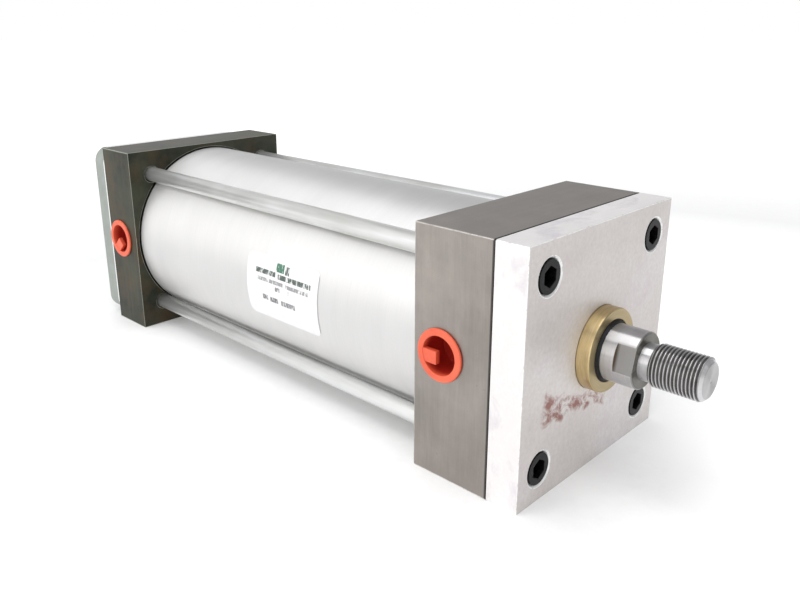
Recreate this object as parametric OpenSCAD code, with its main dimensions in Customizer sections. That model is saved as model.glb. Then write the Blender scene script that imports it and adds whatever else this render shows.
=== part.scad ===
// Tie-rod pneumatic cylinder with a 4 inch bore, a 1 inch rod and an 8 inch stroke.
// The origin is on the rod's axis at the front face of the retainer plate. +X runs out along
// the rod, +Z is up, and both ports open towards -Y. The rod is shown fully drawn in.

/* [Blocks] */
// Side of the square front plate and the two end blocks
block_side = 114.3; // [112:0.1:120]
// Thickness of the front retainer plate
plate_t = 15.875; // [15:0.125:18]
// Thickness of the head block
head_t = 41.275; // [40:0.125:46]
// Thickness of the cap block
cap_t = 31.75; // [31:0.25:36]

/* [Barrel] */
// Bore of the tube
bore_d = 101.6; // [101:0.1:102]
// Outside diameter of the tube
tube_od = 107.95; // [107:0.05:108.5]
// Length of tube seen between the two blocks
tube_show = 238.125; // [230:0.125:300]
// Travel of the piston
stroke = 203.2; // [150:0.1:203.2]

/* [Tie rods] */
// Diameter of a tie rod
tie_d = 9.525; // [8:0.005:10]
// Distance between tie rods, up and across
tie_pitch = 84.328; // [83:0.001:85]

/* [Piston rod] */
// Diameter of the rod
rod_d = 25.4; // [25.4:0.1:25.6]
// Distance from the plate's front face to the rod's shoulder
shoulder_x = 22.225; // [20:0.005:30]
// Distance across the wrench flats
flats_across = 22.225; // [20:0.005:24]
// Length of the wrench flats, back from the shoulder
flats_len = 8.6; // [6:0.1:11]
// Turn of the wrench flats about the rod
flats_turn = -14; // [-90:1:90]
// Outside diameter of the rod end's thread
thread_d = 19.05; // [18:0.01:20]
// Distance from the plate's front face to the start of the thread
thread_start = 28; // [27:0.1:30]
// Length of the thread
thread_len = 19.9; // [15:0.1:30]

/* [Bushing] */
// Diameter of the bushing's nose, the pilot
pilot_d = 38.1; // [37:0.1:39]
// Distance that the pilot stands out of the plate
pilot_len = 6.35; // [5:0.05:8]
// Diameter of the wiper's recess
wiper_d = 28.4; // [28:0.1:30]

/* [Ports] */
// Diameter of a port's hole
port_d = 21.34; // [20:0.01:21.4]
// Distance from the head block's inner face to its port's centre
head_port_inset = 15; // [14.5:0.1:16]
// Height of the head block's port above the rod's axis
head_port_rise = 1.3; // [0:0.1:2]
// Distance from the cap block's inner face to its port's centre
cap_port_inset = 18.65; // [15:0.05:18.7]

/* [Rear mount] */
// Side of the rear flange
flange_side = 111.125; // [108:0.125:114]
// Thickness of the rear flange
flange_t = 15.875; // [12:0.125:18]
// Radius of the rear flange's corners
flange_corner = 9.525; // [5:0.005:12]
// Diameter of the eye's pin hole
eye_d = 19.05; // [15:0.01:20]
// Thickness of the eye
eye_t = 31.75; // [25:0.25:36]
// Distance from the flange's back face to the eye's centre
eye_reach = 31.75; // [30:0.25:45]

/* [Label] */
// Length of the label along the tube
label_len = 58; // [40:1:80]
// Height of the label
label_h = 34.5; // [20:0.5:40]

/* [Hidden] */
$fn = 96;
clear = 1;          // how far a cut runs past the face that it opens
gap = 0.05;         // running clearance, and the slack of a fit
snug = 0.025;       // slack of a screwed or pressed-on fit

// stations along X, from the front to the back
head_front = -plate_t;
head_back = head_front - head_t;
cap_front = head_back - tube_show;
cap_back = cap_front - cap_t;
flange_back = cap_back - flange_t;

// tube and the grooves it stands in
bore_r = bore_d / 2;
tube_r = tube_od / 2;
seat_depth = 3.175;
seat_r = tube_r + 0.8;
spigot_r = bore_r - 0.1;
spigot_len = 4.7625;
spigot_groove_w = 2.4;
spigot_groove_r = spigot_r - 1.85;

// tie rods and their nuts
tie_r = tie_d / 2;
tie_hole_r = tie_r + 0.2;
nut_hole_r = tie_r + snug;
front_nut_r = 7.2;
front_nut_hole_r = 7.35;
front_nut_bevel = 1;
front_nut_face = 0;
front_nut_seat = -13;
front_socket_across = 7.94;
front_socket_depth = 5.7;
rear_nut_across = 14.2875;
rear_nut_t = 8.33;
tie_tail = 2.4;

// bushing, its seals and the bore that takes it
pilot_r = pilot_d / 2;
rod_r = rod_d / 2;
rod_hole_r = rod_r + gap;
wiper_r = wiper_d / 2;
wiper_depth = 4.8;
wiper_lip = 1.3;
bushing_flange_r = 23.8;
bushing_flange_t = 6.35;
bushing_end = head_front - 22.225;
cavity_r = 20.64;
cavity_front = bushing_end + 1.6;
cavity_floor = cap_back + 5.5;
rod_seal_r = 16.6;
rod_seal_front = bushing_end + 8.6;
rod_seal_w = 6;
bushing_body_r = 20.24;
bushing_nose_relief = 0.4;
bushing_ring_r = 18.14;
bushing_ring_x = head_front - 9.7;
bushing_ring_w = 3.2;

// ports
port_r = port_d / 2;
port_depth = 20;
passage_r = 5.5;
head_port_x = head_back + head_port_inset;
cap_port_x = cap_front - cap_port_inset;

// piston, between its two stops
front_stop = head_back - spigot_len;
rear_stop = cap_front + spigot_len;
stop_gap = 0.1;
piston_w = rear_stop < front_stop ? front_stop - rear_stop - stroke - 2 * stop_gap : 0;
piston_back = rear_stop + stop_gap;
piston_front = piston_back + piston_w;
piston_r = bore_r - 0.3;
seal_r = bore_r - gap;
seal_groove_r = 45;
seal_groove_w = 4.8;
band_groove_r = 49;
band_groove_w = 7.6;
land = (piston_w - 2 * seal_groove_w - band_groove_w) / 4;
piston_mid = (piston_front + piston_back) / 2;
piston_ring_r = 11.15;
piston_ring_w = 2.4;
rod_tail_r = 9.525;
piston_nut_across = 28.575;
piston_nut_t = 10.7;
rod_tail_end = piston_back - piston_nut_t - 2;

// outer end of the rod
neck_r = 8.2;
thread_r = thread_d / 2;
thread_end = thread_start + thread_len;
tip_chamfer = 1.9;
tip_r = 7.5;
tip_x = thread_end + tip_chamfer;

// port plugs
plug_flange_r = 12.05;
plug_flange_t = 1.3;
plug_r = port_r - 0.1;
plug_nose_r = port_r - 0.7;
plug_hollow_r = 8.85;
plug_depth = 14;
plug_floor = 1.5;
plug_tab_w = 6.1;
plug_tab_reach = 7.4;
plug_tab_t = 2.6;
plug_tab_shift = 1.7;

// eye
lug_r = 19.05;
lug_half_w = 21;
lug_cove = 8;
side_cove = 6;

// label
label_x = -153.6;
label_z = 0.9;
label_t = 0.15;
label_corner = 4;

// Points of an arc about a centre, in n equal steps
function arc(centre, r, from, to, n) =
    [for (i = [0:n]) let (a = from + (to - from) * i / n) centre + r * [cos(a), sin(a)]];

// Outline of a rectangle with round corners, centred
function round_rectangle(w, h, r, n = 12) = concat(
    arc([w / 2 - r, h / 2 - r], r, 0, 90, n),
    arc([r - w / 2, h / 2 - r], r, 90, 180, n),
    arc([r - w / 2, r - h / 2], r, 180, 270, n),
    arc([w / 2 - r, r - h / 2], r, 270, 360, n));

// A profile of [radius, x] points, turned about the X axis
module turned(profile) rotate([0, 90, 0]) rotate_extrude() polygon(profile);

// A round bar along X from x0 up to x1
module bar(x0, x1, r) translate([x0, 0, 0]) rotate([0, 90, 0]) cylinder(h = x1 - x0, r = r);

// A round ring of section radius r, about the X axis
module o_ring(x, ring_r, r) rotate([0, 90, 0]) rotate_extrude() translate([ring_r, x]) circle(r);

// A square block that reaches back from x0
module square_block(x0, t) translate([x0 - t, -block_side / 2, -block_side / 2])
    cube([t, block_side, block_side]);

// The four tie-rod centres
module at_tie_rods() for (y = [-1, 1], z = [-1, 1])
    translate([0, y * tie_pitch / 2, z * tie_pitch / 2]) children();

// A port in a block's -Y face, and the passage from it to the block's middle
module port(x, z = 0) {
    translate([x, port_depth - block_side / 2, z]) rotate([90, 0, 0])
        cylinder(h = port_depth + clear, r = port_r);
    translate([x, 1 - cavity_r, z]) rotate([90, 0, 0])
        cylinder(h = block_side / 2 - port_depth - cavity_r + 1 + clear, r = passage_r);
}

// Tie-rod nut or piston nut: a hexagon with its corners turned off, and its hole
module hex_nut(x0, x1, across, hole_r) {
    corner_r = across / sqrt(3);
    flat_r = 0.475 * across;
    rise = (corner_r + clear - flat_r) * tan(30);
    difference() {
        intersection() {
            translate([x0, 0, 0]) rotate([0, 90, 0]) cylinder(h = x1 - x0, r = corner_r, $fn = 6);
            turned([[0, x0], [flat_r, x0], [corner_r + clear, x0 + rise],
                    [corner_r + clear, x1 - rise], [flat_r, x1], [0, x1]]);
        }
        bar(x0 - clear, x1 + clear, hole_r);
    }
}

module retainer_plate() color("gainsboro") difference() {
    square_block(0, plate_t);
    bar(-plate_t - clear, clear, pilot_r + gap);
    at_tie_rods() {
        turned([[0, -front_nut_bevel], [front_nut_hole_r, -front_nut_bevel],
                [front_nut_hole_r + front_nut_bevel + clear, clear], [0, clear]]);
        bar(front_nut_seat, clear, front_nut_hole_r);
        bar(-plate_t - clear, front_nut_seat + clear, tie_hole_r);
    }
}

// What both blocks share: the seat and spigot for the tube, its seal's groove and the tie-rod holes.
// out is +1 where the block lies in front of the tube and -1 behind it.
module tube_block(x_front, t, x_face, out) {
    seat = x_face + out * seat_depth;
    tip = x_face - out * spigot_len;
    groove_x = x_face - out * spigot_len / 2;
    difference() {
        union() {
            difference() {
                square_block(x_front, t);
                bar(min(x_face - out * clear, seat), max(x_face - out * clear, seat), seat_r);
            }
            bar(min(tip, seat + out * clear), max(tip, seat + out * clear), spigot_r);
        }
        turned([[spigot_groove_r, groove_x - spigot_groove_w / 2],
                [spigot_r + clear, groove_x - spigot_groove_w / 2],
                [spigot_r + clear, groove_x + spigot_groove_w / 2],
                [spigot_groove_r, groove_x + spigot_groove_w / 2]]);
        at_tie_rods() bar(x_front - t - clear, x_front + clear, tie_hole_r);
    }
}

module head_block() color("#9a948e") difference() {
    tube_block(head_front, head_t, head_back, 1);
    bar(front_stop - clear, cavity_front, cavity_r);
    bar(front_stop - clear, head_front + clear, bushing_body_r + gap);
    bar(head_front - bushing_flange_t, head_front + clear, bushing_flange_r + 0.2);
    port(head_port_x, head_port_rise);
}

module cap_block() color("#565650") difference() {
    tube_block(cap_front, cap_t, cap_front, -1);
    bar(cavity_floor, rear_stop + clear, cavity_r);
    port(cap_port_x);
}

module barrel_tube() color("whitesmoke") difference() {
    bar(cap_front - seat_depth, head_back + seat_depth, tube_r);
    bar(cap_front - seat_depth - clear, head_back + seat_depth + clear, bore_r);
}

// Outline of the eye seen along its pin, behind the flange's back face
function lug_outline() =
    let (from_eye = [lug_cove - eye_reach, lug_half_w],
         tangent = atan2(from_eye[1], from_eye[0]) - acos(lug_r / norm(from_eye)))
    concat(
        [[-1, lug_half_w + lug_cove]],
        arc([lug_cove, lug_half_w + lug_cove], lug_cove, 180, 270, 8),
        arc([eye_reach, 0], lug_r, tangent, -tangent, 44),
        arc([lug_cove, -lug_half_w - lug_cove], lug_cove, 90, 180, 8),
        [[-1, -lug_half_w - lug_cove]]);

// The eye, extruded to a given thickness
module lug(t) translate([flange_back, 0, 0]) mirror([1, 0, 0])
    linear_extrude(height = t, center = true) polygon(lug_outline());

// Cove between the flange and the upper flat side of the eye, across the whole flange
module cove_strip() translate([flange_back, flange_side / 2, eye_t / 2]) rotate([90, 0, 0])
    linear_extrude(height = flange_side)
        polygon(concat([[1, -1], [-side_cove, -1]],
                       arc([-side_cove, side_cove], side_cove, 270, 360, 8), [[1, side_cove]]));

module rear_eye_mount() color("#bfc4bd") difference() {
    union() {
        translate([flange_back, 0, 0]) rotate([0, 90, 0]) linear_extrude(height = flange_t)
            polygon(round_rectangle(flange_side, flange_side, flange_corner));
        lug(eye_t);
        for (side = [0, 180]) rotate([side, 0, 0]) intersection() {
            cove_strip();
            lug(eye_t + 2 * side_cove);
        }
    }
    translate([flange_back - eye_reach, 0, 0])
        cylinder(h = eye_t + 2 * clear, r = eye_d / 2, center = true);
    at_tie_rods() bar(flange_back - clear, cap_back + clear, tie_hole_r);
}

// One tie rod, side by side and up or down as y and z say
module tie_rod(y, z) color("#c9cbc8") translate([0, y * tie_pitch / 2, z * tie_pitch / 2])
    bar(flange_back - rear_nut_t - tie_tail, front_nut_face - front_socket_depth - 0.7, tie_r);
module tie_rod_1() tie_rod(-1, 1);
module tie_rod_2() tie_rod(1, 1);
module tie_rod_3() tie_rod(1, -1);
module tie_rod_4() tie_rod(-1, -1);

module front_tie_rod_nuts() color("#1d1d1f") at_tie_rods() difference() {
    bar(front_nut_seat, front_nut_face, front_nut_r);
    bar(front_nut_seat - clear, front_nut_face - front_socket_depth, nut_hole_r);
    translate([front_nut_face - front_socket_depth - clear, 0, 0]) rotate([0, 90, 0])
        cylinder(h = front_socket_depth + 2 * clear, r = front_socket_across / sqrt(3), $fn = 6);
}

module rear_tie_rod_nuts() color("silver") at_tie_rods()
    hex_nut(flange_back - rear_nut_t, flange_back, rear_nut_across, nut_hole_r);

module rod_bushing() color("#c9a24e") turned([
    [rod_hole_r, bushing_end],
    [bushing_body_r, bushing_end],
    [bushing_body_r, bushing_ring_x - bushing_ring_w / 2],
    [bushing_ring_r, bushing_ring_x - bushing_ring_w / 2],
    [bushing_ring_r, bushing_ring_x + bushing_ring_w / 2],
    [bushing_body_r, bushing_ring_x + bushing_ring_w / 2],
    [bushing_body_r, head_front - bushing_flange_t],
    [bushing_flange_r, head_front - bushing_flange_t],
    [bushing_flange_r, head_front],
    [pilot_r - bushing_nose_relief, head_front],
    [pilot_r - bushing_nose_relief, 0],
    [pilot_r, 0],
    [pilot_r, pilot_len - 0.4],
    [pilot_r - 0.4, pilot_len],
    [wiper_r, pilot_len],
    [wiper_r, pilot_len - wiper_depth],
    [rod_hole_r, pilot_len - wiper_depth],
    [rod_hole_r, rod_seal_front],
    [rod_seal_r, rod_seal_front],
    [rod_seal_r, rod_seal_front - rod_seal_w],
    [rod_hole_r, rod_seal_front - rod_seal_w]]);

// Wiper, with a lip that stands out of the bushing and leans in on the rod
module rod_wiper() color("#161616") turned([
    [rod_hole_r, pilot_len - wiper_depth + gap],
    [wiper_r - gap, pilot_len - wiper_depth + gap],
    [wiper_r - gap, pilot_len - 0.3],
    [wiper_r - 0.5, pilot_len],
    [rod_hole_r + 0.5, pilot_len + wiper_lip],
    [rod_hole_r, pilot_len + wiper_lip],
    [rod_hole_r, pilot_len - 0.5],
    [rod_hole_r + 0.3, pilot_len - 1.2],
    [rod_hole_r + 0.3, pilot_len - 2.4],
    [rod_hole_r, pilot_len - 3.2]]);

// Rod seal, with its lips open towards the pressure behind it
module rod_seal() {
    back = rod_seal_front - rod_seal_w + gap;
    front = rod_seal_front - gap;
    mid = (rod_hole_r + rod_seal_r) / 2;
    color("#202020") turned([
        [rod_hole_r, back], [mid - 0.9, back], [mid, back + 2.2], [mid + 0.9, back],
        [rod_seal_r - gap, back], [rod_seal_r - gap, front], [rod_hole_r, front]]);
}

module bushing_o_ring() color("#202020")
    o_ring(bushing_ring_x, (bushing_body_r + bushing_ring_r) / 2 + 0.02, 1.05);

module tube_seal(x) color("#202020") o_ring(x, spigot_r - 0.9, 0.925);
module head_tube_seal() tube_seal(head_back - spigot_len / 2);
module cap_tube_seal() tube_seal(cap_front + spigot_len / 2);

module piston_rod() color("#c4c6c9") difference() {
    turned([[0, rod_tail_end], [rod_tail_r - 1, rod_tail_end], [rod_tail_r, rod_tail_end + 1],
            [rod_tail_r, piston_front], [rod_r, piston_front],
            [rod_r, shoulder_x - 0.6], [rod_r - 0.6, shoulder_x],
            [neck_r, shoulder_x], [neck_r, thread_start + neck_r - thread_r],
            [thread_r, thread_start], [thread_r, thread_end],
            [tip_r, tip_x], [0, tip_x]]);
    rotate([flats_turn, 0, 0]) for (side = [0, 180]) rotate([side, 0, 0])
        translate([shoulder_x - flats_len, flats_across / 2, -rod_r])
            cube([flats_len + clear, rod_r, rod_d]);
}

module piston() color("lightsteelblue") {
    seal_back_0 = piston_back + land;
    seal_back_1 = seal_back_0 + seal_groove_w;
    band_0 = seal_back_1 + land;
    band_1 = band_0 + band_groove_w;
    seal_front_0 = band_1 + land;
    seal_front_1 = seal_front_0 + seal_groove_w;
    hole_r = rod_tail_r + snug;
    turned([
        [hole_r, piston_back], [piston_r, piston_back],
        [piston_r, seal_back_0], [seal_groove_r, seal_back_0],
        [seal_groove_r, seal_back_1], [piston_r, seal_back_1],
        [piston_r, band_0], [band_groove_r, band_0],
        [band_groove_r, band_1], [piston_r, band_1],
        [piston_r, seal_front_0], [seal_groove_r, seal_front_0],
        [seal_groove_r, seal_front_1], [piston_r, seal_front_1],
        [piston_r, piston_front], [hole_r, piston_front],
        [hole_r, piston_mid + piston_ring_w / 2], [piston_ring_r, piston_mid + piston_ring_w / 2],
        [piston_ring_r, piston_mid - piston_ring_w / 2], [hole_r, piston_mid - piston_ring_w / 2]]);
}

module piston_o_ring() color("#202020")
    o_ring(piston_mid, (rod_tail_r + piston_ring_r) / 2, (piston_ring_r - rod_tail_r) / 2 - 0.03);

module piston_nut() color("silver")
    hex_nut(piston_back - piston_nut_t, piston_back, piston_nut_across, rod_tail_r + snug);

// Piston lip seal, its lips open towards out, +1 for the front and -1 for the back.
// x is the middle of its groove.
module piston_seal(x, out) {
    half = out * (seal_groove_w / 2 - gap);
    mid = (seal_groove_r + seal_r) / 2;
    color("#202020") turned([
        [seal_groove_r + gap, x - half], [seal_r - 0.4, x - half], [seal_r, x],
        [seal_r, x + half], [mid + 1.2, x + half], [mid, x + 0.2 * half],
        [mid - 1.2, x + half], [seal_groove_r + gap, x + half]]);
}
module piston_seal_front() piston_seal(piston_front - land - seal_groove_w / 2, 1);
module piston_seal_rear() piston_seal(piston_back + land + seal_groove_w / 2, -1);

// Wear band, split by a slanting cut
module piston_wear_band() color("peru") difference() {
    turned([[band_groove_r + gap, piston_mid - band_groove_w / 2 + gap],
            [seal_r, piston_mid - band_groove_w / 2 + gap],
            [seal_r, piston_mid + band_groove_w / 2 - gap],
            [band_groove_r + gap, piston_mid + band_groove_w / 2 - gap]]);
    translate([piston_mid, 0, bore_r]) rotate([0, 0, 30]) cube([20, 1.2, 8], center = true);
}

// A push-in port plug with a pull tab over one side of its hollow. turn swings the tab about the port.
module port_plug(x, z, turn) color("#f06446") translate([x, -block_side / 2 - gap, z]) rotate([90, 0, 0]) {
    difference() {
        rotate_extrude() polygon([
            [0, -plug_depth], [plug_nose_r, -plug_depth], [plug_r, -plug_depth / 3], [plug_r, 0],
            [plug_flange_r, 0], [plug_flange_r, plug_flange_t - 0.4],
            [plug_flange_r - 0.4, plug_flange_t], [0, plug_flange_t]]);
        translate([0, 0, plug_floor - plug_depth]) cylinder(h = plug_depth + clear, r = plug_hollow_r);
    }
    rotate([0, 0, turn])
        translate([plug_hollow_r - plug_tab_reach, plug_tab_shift - plug_tab_w / 2,
                   plug_flange_t - 0.2 - plug_tab_t])
            cube([plug_tab_reach + 0.6, plug_tab_w, plug_tab_t]);
}
module front_port_plug() port_plug(head_port_x, head_port_rise, 180);
module rear_port_plug() port_plug(cap_port_x, 0, 225);

module label() color("white") intersection() {
    turned([[tube_r + 0.01, label_x - label_len], [tube_r + label_t, label_x - label_len],
            [tube_r + label_t, label_x + label_len], [tube_r + 0.01, label_x + label_len]]);
    translate([label_x, -tube_r / 2, label_z]) rotate([90, 0, 0]) linear_extrude(height = tube_r)
        polygon(round_rectangle(label_len, label_h, label_corner, 6));
}

retainer_plate();
head_block();
barrel_tube();
cap_block();
rear_eye_mount();
tie_rod_1();
tie_rod_2();
tie_rod_3();
tie_rod_4();
front_tie_rod_nuts();
rear_tie_rod_nuts();
rod_bushing();
rod_wiper();
rod_seal();
bushing_o_ring();
head_tube_seal();
cap_tube_seal();
piston_rod();
piston();
piston_o_ring();
piston_nut();
piston_seal_front();
piston_seal_rear();
piston_wear_band();
front_port_plug();
rear_port_plug();
label();
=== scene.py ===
"""Tie-rod pneumatic cylinder, drawn in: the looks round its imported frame.

Everything is in metres, in the frame's own axes: +X runs out along the piston rod, the ports
face -Y, +Z is up, and the origin is on the rod's axis at the retainer plate's front face.
"""
import math

import bpy
import numpy as np
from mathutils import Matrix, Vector


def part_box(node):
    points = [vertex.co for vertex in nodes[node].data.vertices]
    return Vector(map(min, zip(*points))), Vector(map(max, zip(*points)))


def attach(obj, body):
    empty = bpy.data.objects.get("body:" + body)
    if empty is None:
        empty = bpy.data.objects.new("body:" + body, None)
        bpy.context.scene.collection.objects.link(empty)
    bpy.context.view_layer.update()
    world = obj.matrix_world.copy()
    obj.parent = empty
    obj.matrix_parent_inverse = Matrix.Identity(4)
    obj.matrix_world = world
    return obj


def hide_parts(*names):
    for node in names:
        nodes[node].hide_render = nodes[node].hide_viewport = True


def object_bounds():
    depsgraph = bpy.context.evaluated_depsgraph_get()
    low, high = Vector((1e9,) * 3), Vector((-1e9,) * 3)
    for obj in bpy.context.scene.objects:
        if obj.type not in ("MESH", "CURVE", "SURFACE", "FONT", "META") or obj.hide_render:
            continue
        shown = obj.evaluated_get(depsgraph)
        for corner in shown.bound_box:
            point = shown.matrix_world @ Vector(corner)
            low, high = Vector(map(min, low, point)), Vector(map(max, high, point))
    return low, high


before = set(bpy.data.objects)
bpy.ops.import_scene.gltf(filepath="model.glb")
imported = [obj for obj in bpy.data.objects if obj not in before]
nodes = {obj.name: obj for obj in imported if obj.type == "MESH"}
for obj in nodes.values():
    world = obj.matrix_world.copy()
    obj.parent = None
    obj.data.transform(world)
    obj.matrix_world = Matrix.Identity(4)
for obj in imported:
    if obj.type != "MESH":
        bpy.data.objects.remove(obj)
cad_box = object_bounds()
MM = 0.001

# piston rod: its round part ends at the shoulder, with two flats behind it and the neck and thread ahead
ROD_R = 12.7 * MM
NECK_R = 8.2 * MM
THREAD_R = 9.525 * MM
TAIL_R = 9.525 * MM
TIP_R = 7.5 * MM
SHOULDER_X = 22.225 * MM
THREAD_X = 28.0 * MM
THREAD_END_X = 47.9 * MM
ROD_PITCH = 25.4 / 16 * MM
FLAT_HALF = 22.225 / 2 * MM
FLAT_X = SHOULDER_X - 8.6 * MM
FLAT_TURN = math.radians(-14)
CENTRE_R = 1.2 * MM
CENTRE_DEPTH = 0.35 * MM
tail_x, tip_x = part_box("piston_rod")[0].x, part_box("piston_rod")[1].x

# tie rods and the thread on their rear ends
TIE_R = 4.7625 * MM
TIE_PITCH = 25.4 / 24 * MM
TIE_THREAD = 12.0 * MM

# planes where a block meets the piece in front of it or behind it
plate_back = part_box("retainer_plate")[0].x
cap_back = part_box("cap_block")[0].x


# ---------------------------------------------------------------- shader graphs


class Finish:
    """A procedural material. Its patterns are laid out in the object's own coordinates, in metres."""

    def __init__(self, name, **sockets):
        self.material = bpy.data.materials.new(name)
        self.material.use_nodes = True
        self.tree = self.material.node_tree
        self.shader = self.tree.nodes["Principled BSDF"]
        self.place = self.tree.nodes.new("ShaderNodeTexCoord").outputs["Object"]
        for socket, value in sockets.items():
            title = socket.replace("_", " ").title().replace("Ior", "IOR")
            self.shader.inputs[title].default_value = value

    def _feed(self, socket, value):
        if isinstance(value, bpy.types.NodeSocket):
            self.tree.links.new(value, socket)
        elif value is not None:
            socket.default_value = value

    def sink(self, socket, value):
        """Feeds one of the shader's own sockets."""
        self._feed(self.shader.inputs[socket], value)

    def stretched(self, x, y, z):
        """Coordinates with this many pattern cells per metre along each axis."""
        node = self.tree.nodes.new("ShaderNodeMapping")
        node.inputs["Scale"].default_value = (x, y, z)
        self._feed(node.inputs["Vector"], self.place)
        return node.outputs[0]

    def noise(self, vector, scale=1.0, detail=3.0, rough=0.5, distortion=0.0):
        node = self.tree.nodes.new("ShaderNodeTexNoise")
        self._feed(node.inputs["Vector"], vector)
        for socket, value in (("Scale", scale), ("Detail", detail), ("Roughness", rough),
                              ("Distortion", distortion)):
            node.inputs[socket].default_value = value
        return node.outputs[0]

    def cells(self, vector, scale):
        node = self.tree.nodes.new("ShaderNodeTexVoronoi")
        self._feed(node.inputs["Vector"], vector)
        node.inputs["Scale"].default_value = scale
        return node.outputs["Distance"]

    def math(self, operation, a, b=None):
        node = self.tree.nodes.new("ShaderNodeMath")
        node.operation = operation
        for socket, value in zip(node.inputs, (a, b)):
            self._feed(socket, value)
        return node.outputs[0]

    def times(self, product, *values):
        for value in values:
            product = self.math("MULTIPLY", product, value)
        return product

    def weighed(self, *parts):
        """Sum of (value, weight) pairs."""
        *first, total = [self.times(value, weight) for value, weight in parts]
        for part in reversed(first):
            total = self.math("ADD", part, total)
        return total

    def apart(self, a, b):
        """How far a and b are from each other, without sign."""
        return self.math("ABSOLUTE", self.math("SUBTRACT", a, b))

    def length(self, a, b):
        """Length of the vector (a, b)."""
        return self.math("SQRT", self.math("ADD", self.times(a, a), self.times(b, b)))

    def axes(self):
        node = self.tree.nodes.new("ShaderNodeSeparateXYZ")
        self._feed(node.inputs[0], self.place)
        return node.outputs[0], node.outputs[1], node.outputs[2]

    def joined(self, x, y, z):
        node = self.tree.nodes.new("ShaderNodeCombineXYZ")
        for socket, value in zip(node.inputs, (x, y, z)):
            self._feed(socket, value)
        return node.outputs[0]

    def span(self, value, low, high, to_low=0.0, to_high=1.0):
        """value from low..high to to_low..to_high, held at both ends."""
        node = self.tree.nodes.new("ShaderNodeMapRange")
        for socket, v in zip(node.inputs, (value, low, high, to_low, to_high)):
            self._feed(socket, v)
        return node.outputs[0]

    def ramp(self, value, *stops):
        """Colours (position, (r, g, b)) run through by value."""
        node = self.tree.nodes.new("ShaderNodeValToRGB")
        points = node.color_ramp.elements
        while len(points) < len(stops):
            points.new(0.5)
        for point, (position, colour) in zip(points, stops):
            point.position = position
            point.color = (*colour, 1)
        self._feed(node.inputs[0], value)
        return node.outputs[0]

    def mix(self, factor, a, b):
        node = self.tree.nodes.new("ShaderNodeMix")
        node.data_type = "RGBA"
        self._feed(node.inputs[0], factor)
        for socket, value in ((node.inputs[6], a), (node.inputs[7], b)):
            self._feed(socket, (*value, 1) if isinstance(value, tuple) else value)
        return node.outputs[2]

    def bump(self, height, depth, strength=1.0):
        """Relief of that depth in metres where height goes from 0 to 1. Later calls add to earlier ones."""
        node = self.tree.nodes.new("ShaderNodeBump")
        node.inputs["Strength"].default_value = strength
        node.inputs["Distance"].default_value = depth
        self._feed(node.inputs["Height"], height)
        for link in list(self.shader.inputs["Normal"].links):
            self.tree.links.new(link.from_socket, node.inputs["Normal"])
        self.tree.links.new(node.outputs[0], self.shader.inputs["Normal"])

    def band(self, value, low, high, soft):
        """1 between low and high, fading to 0 over soft on either side."""
        return self.times(self.span(value, low - soft, low), self.span(value, high, high + soft, 1, 0))

    def off_axis(self):
        """Distance from the X axis."""
        _, y, z = self.axes()
        return self.length(y, z)

    def turned(self, around, lines):
        """Coordinates for lathe marks about the X axis: close lines along X and out from the axis."""
        x, y, z = self.axes()
        angle = self.math("ARCTAN2", z, y)
        # the angle goes round as a pair, so that the marks close without a seam
        return self.joined(
            self.times(self.math("ADD", x, self.off_axis()), lines),
            self.times(self.math("COSINE", angle), around),
            self.times(self.math("SINE", angle), around))

    def lathe_grain(self, amount):
        """Stretches highlights along X, as fine turning marks about X do."""
        node = self.tree.nodes.new("ShaderNodeTangent")
        node.direction_type = "RADIAL"
        node.axis = "X"
        self.tree.links.new(node.outputs[0], self.shader.inputs["Tangent"])
        self.shader.inputs["Anisotropic"].default_value = amount
        self.shader.inputs["Anisotropic Rotation"].default_value = 0.25


def ground_steel(name, dark, light, spots, seam, tint, tinted, metallic=1.0, shine=0.5):
    """Ground bar stock: fine lines, clouds, patches of tint, dark spots, and grime at X = seam."""
    f = Finish(name, metallic=metallic, specular_ior_level=shine)
    lines = f.noise(f.stretched(2400, 70, 70), detail=5, rough=0.62)
    wide_lines = f.noise(f.stretched(420, 26, 26), detail=3)
    clouds = f.noise(f.place, 30, 5, 0.62)
    tone = f.weighed((lines, 0.20), (wide_lines, 0.16), (clouds, 0.64))
    colour = f.ramp(tone, (0.34, dark), (0.64, light))
    patches = f.span(f.noise(f.stretched(75, 62, 48), detail=4, rough=0.7), 0.46, 0.66)
    colour = f.mix(f.times(patches, tinted), colour, tint)
    x, _, _ = f.axes()
    grime = f.span(f.apart(x, seam), 0.75 * MM, 1.1 * MM, 0.8, 0)
    colour = f.mix(grime, colour, (0.02, 0.02, 0.018))
    spot = f.span(f.noise(f.place, 240, 3, 0.7), 0.68, 0.76)
    f.sink("Base Color", f.mix(f.times(spot, spots), colour, tuple(0.35 * c for c in dark)))
    f.sink("Roughness", f.span(f.math("ADD", clouds, f.times(lines, 0.5)), 0.4, 1.1, 0.33, 0.49))
    f.bump(lines, 0.008 * MM)
    f.bump(clouds, 0.15 * MM, 0.3)
    return f.material


def bright_edge(name, colour, rough, seam):
    """Corner of a block in a lighter colour than its faces, partly worn metal and partly a painted highlight
    along the edge, nicked here and there, and dark where it meets the next at X = seam.
    """
    f = Finish(name)
    nicks = f.noise(f.place, 380, 4, 0.7)
    x, _, _ = f.axes()
    joint = f.span(f.apart(x, seam), 0.5 * MM, 0.8 * MM, 1, 0)
    # the lighter edge colour is wear plus a painted highlight along the corner
    worn_and_lit = f.ramp(nicks, (0.36, tuple(0.72 * c for c in colour)), (0.50, colour))
    f.sink("Base Color", f.mix(joint, worn_and_lit, (0.006, 0.006, 0.006)))
    f.sink("Metallic", f.span(joint, 0, 1, 0.5, 0))
    f.sink("Roughness", f.math("MAXIMUM", f.span(nicks, 0.3, 0.7, rough + 0.1, rough), f.times(joint, 0.8)))
    f.bump(nicks, 0.02 * MM)
    return f.material


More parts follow.
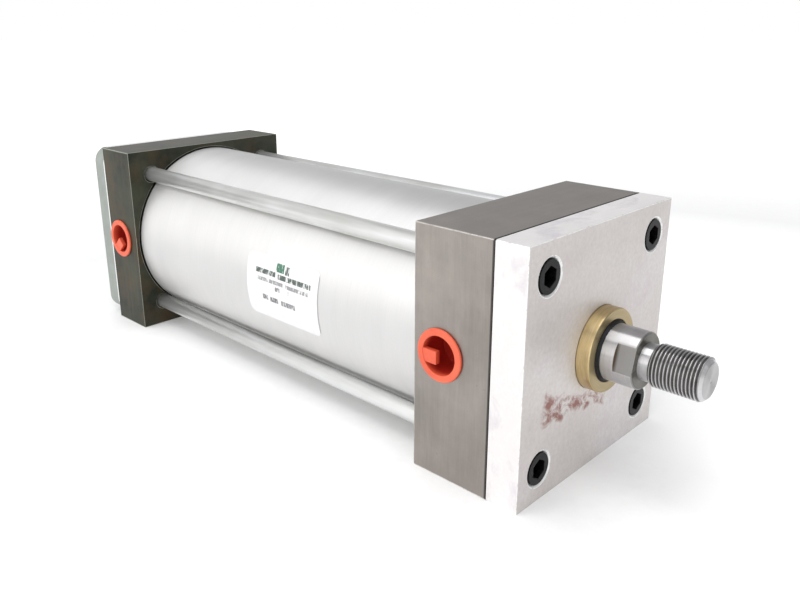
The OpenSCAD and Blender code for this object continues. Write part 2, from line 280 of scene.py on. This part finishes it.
def plate_aluminium():
    """Sawn and fly-cut aluminium plate with handling stains."""
    f = Finish("plate_aluminium", metallic=0.5)
    fine = f.noise(f.stretched(900, 520, 520), detail=5, rough=0.65)
    clouds = f.noise(f.place, 21, 5, 0.62)
    drift = f.noise(f.stretched(30, 9, 30), detail=3)
    tone = f.weighed((fine, 0.3), (clouds, 0.45), (drift, 0.25))
    colour = f.ramp(tone, (0.36, (0.60, 0.56, 0.53)), (0.50, (0.70, 0.66, 0.64)), (0.63, (0.80, 0.775, 0.77)))
    stain = f.span(f.noise(f.place, 42, 6, 0.72, 0.4), 0.54, 0.72)
    colour = f.mix(f.times(stain, 0.40), colour, (0.62, 0.50, 0.56))
    x, y, z = f.axes()

    # an unreadable smudge of red ink under the bushing, along a sloping line with a wandering outline
    middle = f.math("SUBTRACT", f.times(y, -0.20), 24.0 * MM)
    wander = f.span(f.noise(f.place, 80, 2), 0.3, 0.7, -2.5 * MM, 2.5 * MM)
    off_middle = f.apart(f.math("ADD", z, wander), middle)
    half_height = f.span(y, -42 * MM, -12 * MM, 7.5 * MM, 4.5 * MM)
    inside = f.times(f.span(f.math("SUBTRACT", half_height, off_middle), -0.5 * MM, 1.5 * MM),
                     f.band(f.math("ADD", y, wander), -41 * MM, 8 * MM, 3 * MM),
                     f.math("GREATER_THAN", x, -0.05 * MM))
    blots = f.span(f.noise(f.place, 150, 5, 0.75, 0.8), 0.42, 0.60)
    colour = f.mix(f.times(inside, blots, 0.9), colour, (0.28, 0.095, 0.07))

    # the sawn sides are painted whiter than the front and the front a touch darker: painted light and shade,
    # by how the light falls on them; the sides also get a few faint stains
    front = f.span(x, -0.5 * MM, -0.3 * MM)
    colour = f.mix(f.times(front, 0.04), colour, (0.16, 0.17, 0.17))
    colour = f.mix(f.math("SUBTRACT", 0.55, f.times(front, 0.55)), colour, (0.88, 0.865, 0.87))
    faint = f.span(f.noise(f.stretched(60, 34, 34), detail=5, rough=0.7, distortion=0.3), 0.52, 0.74)
    colour = f.mix(f.times(f.math("SUBTRACT", 0.6, f.times(front, 0.6)), faint), colour, (0.50, 0.46, 0.53))

    # countersinks round the four front nuts, painted near white: painted highlight where they catch the light
    low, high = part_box("tie_rod_1")
    nut_offset = abs((low.y + high.y) / 2)
    across, up = (f.math("SUBTRACT", f.math("ABSOLUTE", v), nut_offset) for v in (y, z))
    cut = f.times(f.math("LESS_THAN", f.length(across, up), 8.6 * MM), f.math("GREATER_THAN", x, -1.3 * MM))
    f.sink("Base Color", f.mix(cut, colour, (0.98, 0.98, 0.97)))
    f.sink("Roughness", f.span(clouds, 0.3, 0.7, 0.42, 0.56))
    f.bump(fine, 0.012 * MM)
    return f.material


def tube_aluminium():
    """Clear-anodised tube, polished round and round."""
    f = Finish("tube_aluminium", metallic=0.8)
    f.lathe_grain(0.7)
    rings = f.noise(f.turned(around=2.0, lines=1900), detail=4, rough=0.6)
    wide = f.noise(f.turned(around=1.2, lines=90), detail=3)
    clouds = f.noise(f.place, 14, 4, 0.55)
    tone = f.weighed((rings, 0.35), (wide, 0.25), (clouds, 0.4))
    # a dark line where each end goes into its block
    low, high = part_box("barrel_tube")
    x, _, _ = f.axes()
    ends = f.math("MAXIMUM", f.span(x, low.x + 3.7 * MM, low.x + 4.0 * MM, 1, 0),
                  f.span(x, high.x - 4.0 * MM, high.x - 3.7 * MM))
    colour = f.ramp(tone, (0.3, (0.64, 0.636, 0.630)), (0.7, (0.735, 0.728, 0.722)))
    f.sink("Base Color", f.mix(ends, colour, (0.03, 0.03, 0.028)))
    f.sink("Roughness", f.span(tone, 0.3, 0.7, 0.42, 0.48))
    f.bump(rings, 0.004 * MM)
    return f.material


def zinc(name, along=True):
    """Bright zinc plate, milky in streaks that run along a rod or all over a nut."""
    f = Finish(name, metallic=0.85)
    if along:
        f.lathe_grain(0.5)
        streaks = f.noise(f.stretched(14, 240, 240), 1, 3, 0.55)
    else:
        streaks = f.noise(f.place, 300, 3, 0.55)
    film = f.noise(f.place, 30, 2, 0.5)
    tone = f.weighed((streaks, 0.6), (film, 0.4))
    f.sink("Base Color", f.ramp(tone, (0.36, (0.58, 0.585, 0.56)), (0.52, (0.71, 0.715, 0.70)),
                                (0.66, (0.82, 0.83, 0.835))))
    f.sink("Roughness", f.span(film, 0.3, 0.7, 0.29, 0.34))
    return f.material


def black_oxide():
    """Blacked steel of the socket nuts."""
    f = Finish("black_oxide", metallic=0.9)
    grain = f.noise(f.place, 900, 4, 0.6)
    f.sink("Base Color", f.ramp(grain, (0.35, (0.009, 0.009, 0.010)), (0.7, (0.030, 0.030, 0.031))))
    f.sink("Roughness", f.span(grain, 0.3, 0.7, 0.34, 0.5))
    f.bump(grain, 0.02 * MM)
    return f.material


def bronze():
    """Turned bronze, golden, with the lathe's rings."""
    f = Finish("bronze", metallic=1.0)
    f.lathe_grain(0.85)
    x, _, _ = f.axes()
    # painted shade: the nose's end face is coloured darker than its side
    face = f.span(x, 6.1 * MM, 6.3 * MM, 0, 0.65)  # the nose's end, duller than its side
    rings = f.noise(f.turned(around=2.5, lines=2600), detail=3, rough=0.6)
    clouds = f.noise(f.place, 90, 4, 0.6)
    tone = f.weighed((rings, 0.55), (clouds, 0.45))
    colour = f.ramp(tone, (0.30, (0.50, 0.375, 0.18)), (0.52, (0.66, 0.51, 0.27)), (0.72, (0.78, 0.64, 0.38)))
    f.sink("Base Color", f.mix(face, colour, (0.22, 0.18, 0.10)))
    f.sink("Roughness", f.span(clouds, 0.3, 0.7, 0.285, 0.33))
    f.bump(rings, 0.008 * MM)
    return f.material


def rubber():
    """Black rubber of the seals and the wiper."""
    f = Finish("seal_rubber", metallic=0.0, specular_ior_level=0.2)
    grain = f.noise(f.place, 700, 4, 0.6)
    f.sink("Base Color", f.ramp(grain, (0.3, (0.006, 0.006, 0.006)), (0.75, (0.016, 0.015, 0.014))))
    f.sink("Roughness", f.span(grain, 0.3, 0.7, 0.38, 0.55))
    f.bump(grain, 0.015 * MM)
    return f.material


def rod_steel():
    """Chromed rod and its machined end, with close turning lines."""
    f = Finish("rod_chrome")
    f.lathe_grain(0.95)
    rings = f.noise(f.turned(around=1.5, lines=3600), detail=3, rough=0.6)
    film = f.noise(f.place, 130, 5, 0.65)
    x, _, _ = f.axes()
    radius = f.off_axis()
    colour = f.ramp(f.weighed((rings, 0.45), (film, 0.55)),
                    (0.33, (0.54, 0.53, 0.525)), (0.5, (0.61, 0.60, 0.605)), (0.68, (0.70, 0.695, 0.712)))

    # dull milled flats, with painted shade on the step where they start and on the flats next to it, and a
    # dark line on the shoulder
    below_round = f.span(radius, ROD_R - 0.10 * MM, ROD_R - 0.04 * MM, 1, 0)
    milled = f.times(f.band(x, FLAT_X + 0.075 * MM, SHOULDER_X - 0.075 * MM, 0.05 * MM),
                     f.span(radius, 10.4 * MM, 10.6 * MM), below_round)
    step = f.times(f.band(x, FLAT_X - 0.075 * MM, FLAT_X + 0.095 * MM, 0.04 * MM), below_round)
    colour = f.mix(f.times(milled, 0.7), colour, (0.26, 0.25, 0.235))
    heel_shade = f.times(milled, f.span(x, FLAT_X + 0.075 * MM, FLAT_X + 1.575 * MM, 0.85, 0))
    colour = f.mix(f.math("MAXIMUM", step, heel_shade), colour, (0.10, 0.07, 0.048))
    shoulder = f.times(f.band(x, SHOULDER_X - 0.125 * MM, SHOULDER_X + 0.075 * MM, 0.05 * MM),
                       f.span(radius, ROD_R - 0.6 * MM, ROD_R - 0.4 * MM, 1, 0))
    colour = f.mix(f.times(shoulder, 0.9), colour, (0.09, 0.085, 0.065))
    colour = f.mix(f.span(x, tip_x - 0.2 * MM, tip_x - 0.1 * MM, 0, 0.5), colour, (0.30, 0.30, 0.29))

    # painted shade, dark brown, in the thread's grooves, deepest at its roots
    roots = f.times(f.band(x, THREAD_X - 1.0 * MM, THREAD_END_X + 0.3 * MM, 0.4 * MM),
                    f.span(radius, THREAD_R - 0.575 * MM, THREAD_R - 0.105 * MM, 1, 0))
    groove_shade = f.times(roots, f.span(film, 0.25, 0.6, 1.0, 0.85))
    f.sink("Base Color", f.mix(groove_shade, colour, (0.016, 0.013, 0.009)))
    f.sink("Metallic", f.span(groove_shade, 0, 1, 1.0, 0.2))
    rough = f.math("ADD", f.span(film, 0.3, 0.7, 0.33, 0.37), f.times(milled, 0.13))
    f.sink("Roughness", f.math("ADD", rough, f.times(groove_shade, 0.15)))
    f.bump(rings, 0.008 * MM)
    return f.material


def cast_aluminium():
    """Rear mount: sand-cast skin, a little pale green-grey."""
    f = Finish("cast_aluminium", metallic=0.75)
    sand = f.noise(f.place, 900, 5, 0.7)
    lumps = f.noise(f.place, 120, 4, 0.6)
    pits = f.span(f.cells(f.place, 420), 0.0, 0.35, 0.0, 1.0)
    tone = f.weighed((sand, 0.5), (lumps, 0.5))
    colour = f.ramp(tone, (0.32, (0.30, 0.32, 0.30)), (0.6, (0.37, 0.395, 0.37)), (0.75, (0.42, 0.445, 0.42)))
    # painted highlight: the flange's top and a strip of its side along the cap are coloured near white, where
    # the light catches them
    front_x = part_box("rear_eye_mount")[1].x
    rim = 55.2 * MM
    x, y, z = f.axes()
    strip = f.times(f.span(x, front_x - 4.5 * MM, front_x - 4.1 * MM),
                    f.math("GREATER_THAN", f.math("ABSOLUTE", y), rim))
    painted_rim_highlight = f.math("MAXIMUM", strip, f.math("GREATER_THAN", z, rim))
    f.sink("Base Color", f.mix(painted_rim_highlight, colour, (0.90, 0.91, 0.89)))
    f.sink("Roughness", f.span(sand, 0.3, 0.7, 0.42, 0.62))
    f.bump(lumps, 0.25 * MM, 0.6)
    f.bump(pits, 0.05 * MM, 0.6)
    f.bump(sand, 0.08 * MM, 0.8)
    return f.material


def machined(name, low, high, rough):
    """Plain turned metal of the hidden parts."""
    f = Finish(name, metallic=1.0)
    rings = f.noise(f.turned(around=2.0, lines=2200), detail=3)
    f.sink("Base Color", f.ramp(rings, (0.3, low), (0.7, high)))
    f.sink("Roughness", f.span(rings, 0.3, 0.7, rough, rough + 0.12))
    f.bump(rings, 0.01 * MM)
    return f.material


def band_plastic():
    """Brown phenolic of the piston's wear band."""
    f = Finish("band_plastic", metallic=0.0)
    grain = f.noise(f.place, 600, 4)
    f.sink("Base Color", f.ramp(grain, (0.3, (0.20, 0.11, 0.05)), (0.7, (0.32, 0.19, 0.09))))
    f.sink("Roughness", f.span(grain, 0.3, 0.7, 0.4, 0.55))
    f.bump(grain, 0.02 * MM)
    return f.material


def plug_plastic():
    """Soft orange-red polyethylene of the port plugs."""
    f = Finish("plug_plastic", metallic=0.0, subsurface_weight=0.08, subsurface_scale=0.001,
               subsurface_radius=(1.0, 0.35, 0.2), specular_ior_level=0.4)
    flow = f.noise(f.place, 90, 4, 0.6)
    grain = f.noise(f.place, 1400, 3)
    _, y, _ = f.axes()
    colour = f.ramp(flow, (0.3, (0.68, 0.100, 0.048)), (0.7, (0.80, 0.145, 0.070)))
    # painted shade: the inside of the cup is coloured a darker red the deeper it goes
    inside = f.span(y, -57.9 * MM, -54.5 * MM)  # deeper red down in the cup
    f.sink("Base Color", f.mix(inside, colour, (0.42, 0.022, 0.012)))
    f.sink("Roughness", f.span(flow, 0.3, 0.7, 0.36, 0.5))
    f.bump(grain, 0.012 * MM)
    f.bump(flow, 0.12 * MM, 0.5)
    return f.material


# Bars on the sticker, in mm from its centre: (across, up, width, height, ink, how dark)
GREEN, BLACK, GREY = (0.012, 0.13, 0.065), (0.03, 0.055, 0.04), (0.12, 0.12, 0.13)
PRINT = (
    (-1.4, 12.6, 6.2, 4.4, GREEN, 0.95), (4.4, 12.2, 3.4, 4.2, BLACK, 0.9),
    (-13.2, 8.5, 16.4, 2.5, BLACK, 0.95), (10.1, 8.0, 26.0, 2.5, BLACK, 0.95),
    (-9.0, 4.3, 21.0, 1.9, GREY, 0.75), (12.5, 4.0, 18.0, 1.9, GREY, 0.75),
    (-2.9, 0.9, 3.6, 2.1, GREY, 0.9), (5.8, 0.9, 1.4, 2.1, GREY, 0.7),
    (-13.4, -5.3, 4.2, 2.6, GREY, 0.95), (-6.2, -5.6, 6.4, 2.6, GREY, 0.95),
    (5.3, -5.8, 11.0, 2.6, GREY, 0.85),
)


def label_vinyl():
    """White sticker with plain broken bars in place of any wording."""
    low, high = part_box("label")
    middle = (low + high) / 2
    f = Finish("label_vinyl", metallic=0.0, specular_ior_level=0.5)
    x, _, z = f.axes()
    across, up = f.math("SUBTRACT", x, middle.x), f.math("SUBTRACT", z, middle.z)
    fibre = f.noise(f.place, 260, 4, 0.6)
    colour = f.ramp(fibre, (0.3, (0.72, 0.72, 0.715)), (0.7, (0.79, 0.79, 0.795)))
    strokes = f.noise(f.stretched(850, 120, 260), detail=3, rough=0.6)
    broken = f.span(strokes, 0.50, 0.60, 1.0, 0.15)
    for at_x, at_z, width, height, ink, dark in PRINT:
        inside = f.times(f.band(across, (at_x - width / 2) * MM, (at_x + width / 2) * MM, 0.15 * MM),
                         f.band(up, (at_z - height / 2) * MM, (at_z + height / 2) * MM, 0.15 * MM))
        colour = f.mix(f.times(inside, broken, dark), colour, ink)
    half_width = (high.x - low.x) / 2
    # painted shadow: a grey line down the sticker's right edge
    rim = f.span(across, half_width - 0.7 * MM, half_width - 0.4 * MM, 0, 0.6)
    f.sink("Base Color", f.mix(rim, colour, (0.18, 0.18, 0.18)))
    f.sink("Roughness", f.span(fibre, 0.3, 0.7, 0.34, 0.46))
    f.bump(fibre, 0.02 * MM, 0.5)
    return f.material


FINISHES = {
    "plate_aluminium": plate_aluminium(),
    "head_steel": ground_steel(
        "head_steel", dark=(0.250, 0.224, 0.205), light=(0.375, 0.338, 0.310), spots=0.3,
        seam=plate_back, tint=(0.26, 0.255, 0.235), tinted=0.3),
    "cap_steel": ground_steel(
        "cap_steel", dark=(0.003, 0.005, 0.003), light=(0.058, 0.063, 0.042), spots=0.7,
        seam=cap_back, tint=(0.072, 0.046, 0.024), tinted=0.7, metallic=0.1, shine=0.2),
    "tube_aluminium": tube_aluminium(),
    "cast_aluminium": cast_aluminium(),
    "zinc_rod": zinc("zinc_rod"),
    "zinc_nut": zinc("zinc_nut", along=False),
    "black_oxide": black_oxide(),
    "bronze": bronze(),
    "seal_rubber": rubber(),
    "rod_chrome": rod_steel(),
    "piston_aluminium": machined("piston_aluminium", (0.62, 0.62, 0.61), (0.8, 0.8, 0.79), 0.3),
    "band_plastic": band_plastic(),
    "plug_plastic": plug_plastic(),
    "label_vinyl": label_vinyl(),
}
# finish of the broken edges of each block, by the finish of its faces; their lighter colour is partly wear
# and partly a painted highlight
EDGES = {
    "plate_aluminium": bright_edge("plate_edge", (0.90, 0.90, 0.89), 0.35, plate_back),
    "head_steel": bright_edge("head_edge", (0.50, 0.47, 0.44), 0.30, plate_back),
    "cap_steel": bright_edge("cap_edge", (0.30, 0.31, 0.26), 0.34, cap_back),
    "cast_aluminium": bright_edge("cast_edge", (0.85, 0.87, 0.84), 0.4, cap_back),
}


# ---------------------------------------------------------------- CAD nodes: finish and broken edges


SHARP = math.radians(35)  # edges turned by more than this are broken


def break_edges(node, width):
    """Small rounded edges on a CAD node, by modifiers only: its own vertices stay as they were packed."""
    obj = nodes[node]
    mesh = obj.data
    for attribute in ("custom_normal", "sharp_edge"):
        if attribute in mesh.attributes:
            mesh.attributes.remove(mesh.attributes[attribute])
    mesh.shade_smooth()
    weld = obj.modifiers.new("weld", "WELD")
    weld.merge_threshold = 0.002 * MM
    flat = obj.modifiers.new("flat", "DECIMATE")
    flat.decimate_type = "DISSOLVE"
    flat.angle_limit = math.radians(0.5)
    bevel = obj.modifiers.new("edges", "BEVEL")
    bevel.width = width
    bevel.segments = 2
    bevel.limit_method = "ANGLE"
    bevel.angle_limit = SHARP
    bevel.use_clamp_overlap = False
    bevel.miter_outer = "MITER_ARC"
    if len(mesh.materials) > 1:
        bevel.material = 1
    split = obj.modifiers.new("hard", "EDGE_SPLIT")
    split.split_angle = SHARP
    split.use_edge_sharp = False
    normals = obj.modifiers.new("normals", "WEIGHTED_NORMAL")
    normals.keep_sharp = True
    normals.weight = 80


for node, obj in nodes.items():
    slot = obj.data.materials[0].name
    obj.data.materials[0] = FINISHES[slot]
    if slot in EDGES:
        obj.data.materials.append(EDGES[slot])

for node, width in (("retainer_plate", 0.30), ("head_block", 0.50), ("cap_block", 0.45),
                    ("rear_eye_mount", 0.60), ("rod_bushing", 0.25), ("rear_tie_rod_nuts", 0.20),
                    ("front_tie_rod_nuts", 0.20), ("front_port_plug", 0.30), ("rear_port_plug", 0.30)):
    break_edges(node, width * MM)


# ---------------------------------------------------------------- turned pieces with real threads


def eased(profile, ease):
    """Lathe profile [(x, r), ...] with each corner cut by a hair and held by a ring on either side."""
    points = [np.array(p, float) for p in profile]
    path = [points[0]]
    for before, corner, after in zip(points, points[1:], points[2:]):
        back, ahead = before - corner, after - corner
        for side, lengths in ((back, (2.4, 1.0)), (ahead, (1.0, 2.4))):
            length = np.linalg.norm(side)
            path += [corner + side / length * min(k * ease, length * 0.45) for k in lengths]
    path.append(points[-1])
    return path


def with_rings(path, start, end, step):
    """The path with more rings between the stations start and end, at most step apart."""
    dense = [path[0]]
    for a, b in zip(path, path[1:]):
        if min(a[0], b[0]) >= start - 1e-9 and max(a[0], b[0]) <= end + 1e-9:
            n = max(1, int(math.ceil(abs(b[0] - a[0]) / step)))
            dense += [a + (b - a) * k / n for k in range(1, n)]
        dense.append(b)
    return dense


def thread_radius(x, angle, major, pitch):
    """Radius of a right-hand unified thread at stations x and angles, as arrays."""
    depth = 0.6134 * pitch
    crest_half, root_start = 1 / 16, 3 / 8  # in pitches from the middle of the crest
    turn = x / pitch - angle / (2 * math.pi)
    off_crest = np.abs(turn - np.round(turn))
    return major - depth * np.clip((off_crest - crest_half) / (root_start - crest_half), 0, 1)


def turned_piece(name, path, segments, cuts, centre=(0.0, 0.0)):
    """Closed mesh turned about X from the path, with cuts (first x, last x, radius(x, angle))."""
    x = np.array([p[0] for p in path])[:, None]
    r = np.array([p[1] for p in path])[:, None]
    angle = np.arange(segments)[None, :] * 2 * math.pi / segments
    radius = np.repeat(r, segments, 1)
    for first, last, shape in cuts:
        inside = (x >= first) & (x <= last)
        radius = np.where(inside, np.minimum(radius, shape(x, angle)), radius)
    rings = np.stack([np.repeat(x, segments, 1), centre[0] + radius * np.cos(angle),
                      centre[1] + radius * np.sin(angle)], -1)
    count = len(path)
    verts = rings.reshape(-1, 3)
    index = np.arange(count * segments).reshape(count, segments)
    ahead = np.roll(index, -1, 1)
    faces = np.stack([index[:-1], index[1:], ahead[1:], ahead[:-1]], -1).reshape(-1, 4).tolist()
    faces += [index[0].tolist(), index[-1][::-1].tolist()]
    mesh = bpy.data.meshes.new(name)
    mesh.from_pydata(verts.tolist(), [], faces)
    mesh.validate()
    mesh.shade_smooth()
    obj = bpy.data.objects.new(name, mesh)
    bpy.context.scene.collection.objects.link(obj)
    return obj


# piston rod, from the end inside the piston out to the threaded tip
piston_front_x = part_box("piston")[1].x
rod_path = eased([
    (tail_x, 0.5 * MM), (tail_x, TAIL_R - 1 * MM), (tail_x + 1 * MM, TAIL_R),
    (piston_front_x, TAIL_R), (piston_front_x, ROD_R),
    (SHOULDER_X - 0.6 * MM, ROD_R), (SHOULDER_X, ROD_R - 0.6 * MM),
    (SHOULDER_X, NECK_R), (THREAD_X + NECK_R - THREAD_R, NECK_R),
    (THREAD_X, THREAD_R), (THREAD_END_X, THREAD_R),
    (tip_x, TIP_R), (tip_x, CENTRE_R), (tip_x - CENTRE_DEPTH, 0.12 * MM)], 0.06 * MM)
# rings on either side of the step where the flats start
wall = 0.03 * MM
at = next(i for i, p in enumerate(rod_path) if p[0] > FLAT_X and p[1] > ROD_R - 0.01 * MM)
rod_path[at:at] = [np.array((FLAT_X + k * wall, ROD_R)) for k in (-2.4, 0.0, 1.0, 3.4)]
rod_path = with_rings(rod_path, THREAD_X - 1.4 * MM, tip_x, ROD_PITCH / 22)


def flats(x, angle):
    """Radius of two flats on opposite sides of the rod."""
    return FLAT_HALF / np.maximum(np.abs(np.cos(angle - FLAT_TURN)), 1e-3) + 0 * x


piston_rod = turned_piece("piston_rod_threaded", rod_path, 160, [
    (FLAT_X + 0.5 * wall, SHOULDER_X + wall, flats),
    (THREAD_X - 1.5 * MM, THREAD_END_X + 2.5 * MM,
     lambda x, a: thread_radius(x, a, THREAD_R, ROD_PITCH))])
piston_rod.data.materials.append(FINISHES["rod_chrome"])
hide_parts("piston_rod")
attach(piston_rod, "rod")

# tie rods: plain between the blocks, rolled thread behind
for number in (1, 2, 3, 4):
    node = f"tie_rod_{number}"
    low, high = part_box(node)
    path = eased([(low.x, 0.5 * MM), (low.x, TIE_R - 0.7 * MM), (low.x + 0.7 * MM, TIE_R),
                  (high.x - 0.5 * MM, TIE_R), (high.x, TIE_R - 0.5 * MM), (high.x, 0.5 * MM)], 0.05 * MM)
    at = next(i for i, p in enumerate(path) if p[0] > low.x + TIE_THREAD)
    path[at:at] = [np.array((low.x + TIE_THREAD, TIE_R))]
    path = with_rings(path, low.x, low.x + TIE_THREAD, TIE_PITCH / 16)
    rod = turned_piece(f"{node}_threaded", path, 64, [
        (low.x, low.x + TIE_THREAD, lambda x, a: thread_radius(x, a, TIE_R, TIE_PITCH))],
        ((low.y + high.y) / 2, (low.z + high.z) / 2))
    rod.data.materials.append(FINISHES["zinc_rod"])
    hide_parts(node)
    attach(rod, "barrel")


# ---------------------------------------------------------------- stage, lights and camera


def pale_floor():
    """Pale table that glows a little, more on the rod's side, and fades to plain white far out."""
    f = Finish("pale_floor", metallic=0.0)
    dust = f.noise(f.place, 160, 5, 0.7)
    clouds = f.noise(f.place, 6, 4, 0.6)
    x, y, _ = f.axes()
    far = f.span(f.length(x, y), 0.42, 0.95)
    near_colour = f.mix(f.span(f.times(dust, clouds), 0.2, 0.42),
                        (0.82, 0.82, 0.82), (0.78, 0.78, 0.775))
    f.sink("Base Color", f.mix(far, near_colour, (0, 0, 0)))
    f.shader.inputs["Emission Color"].default_value = (1, 1, 1, 1)
    open_side = f.span(f.math("ADD", x, y), -0.03, 0.09, 0.1, 0.24)
    f.sink("Emission Strength", f.math("MAXIMUM", f.times(far, 1.2), open_side))
    f.sink("Roughness", f.span(clouds, 0.3, 0.7, 0.55, 0.7))
    f.bump(dust, 0.1 * MM, 0.4)
    return f.material


floor_z = cad_box[0].z
FLOOR_HALF = 6.0
floor_mesh = bpy.data.meshes.new("floor")
floor_mesh.from_pydata([(x * FLOOR_HALF, y * FLOOR_HALF, floor_z)
                        for x, y in ((-1, -1), (1, -1), (1, 1), (-1, 1))], [], [(0, 1, 2, 3)])
floor = bpy.data.objects.new("floor", floor_mesh)
floor_mesh.materials.append(pale_floor())
bpy.context.scene.collection.objects.link(floor)


def soft_light(name, at, towards, width, height, power):
    light = bpy.data.lights.new(name, "AREA")
    light.shape = "RECTANGLE"
    light.size, light.size_y = width, height
    light.energy = power
    obj = bpy.data.objects.new(name, light)
    obj.location = at
    obj.rotation_euler = (Vector(towards) - Vector(at)).to_track_quat("-Z", "Y").to_euler()
    bpy.context.scene.collection.objects.link(obj)


middle = (cad_box[0] + cad_box[1]) / 2
soft_light("window", (-0.45, -2.6, 1.4), middle, 4.0, 2.6, 40)
soft_light("ceiling", (-0.2, -0.3, 1.7), middle, 1.4, 1.4, 20)

# the dome is white low down and greyer overhead, and plain white where the camera sees it
world = bpy.data.worlds.new("studio")
world.use_nodes = True
bpy.context.scene.world = world
sky = world.node_tree.nodes
links = world.node_tree.links
direction = sky.new("ShaderNodeTexCoord")
lean = sky.new("ShaderNodeVectorMath")
lean.operation = "DOT_PRODUCT"
lean.inputs[1].default_value = (0.3, 0.45, 1.0)
height = sky.new("ShaderNodeValToRGB")
links.new(direction.outputs["Generated"], lean.inputs[0])
links.new(lean.outputs["Value"], height.inputs[0])
stops = height.color_ramp.elements
stops[0].position, stops[0].color = 0.10, (1, 1, 1, 1)
stops[1].position, stops[1].color = 0.62, (0.45, 0.455, 0.47, 1)
seen = sky.new("ShaderNodeLightPath")
backdrop = sky.new("ShaderNodeMix")
backdrop.data_type = "RGBA"
links.new(seen.outputs["Is Camera Ray"], backdrop.inputs[0])
links.new(height.outputs[0], backdrop.inputs[6])
backdrop.inputs[7].default_value = (1, 1, 1, 1)
links.new(backdrop.outputs[2], sky["Background"].inputs["Color"])
sky["Background"].inputs["Strength"].default_value = 1.0

CAMERA_AT = (0.1582, -0.2923, 0.1388)
CAMERA_LOOK = (-0.65856, 0.68875, -0.30319)
lens = bpy.data.cameras.new("camera")
lens.sensor_width = 36.0
lens.lens = 35.81
lens.shift_x = 0.0022
lens.shift_y = -0.0422
lens.clip_start, lens.clip_end = 0.01, 50.0
camera = bpy.data.objects.new("camera", lens)
camera.location = CAMERA_AT
camera.rotation_euler = Vector(CAMERA_LOOK).to_track_quat("-Z", "Y").to_euler()
bpy.context.scene.collection.objects.link(camera)
bpy.context.scene.camera = camera

bpy.context.scene.view_settings.view_transform = "Standard"
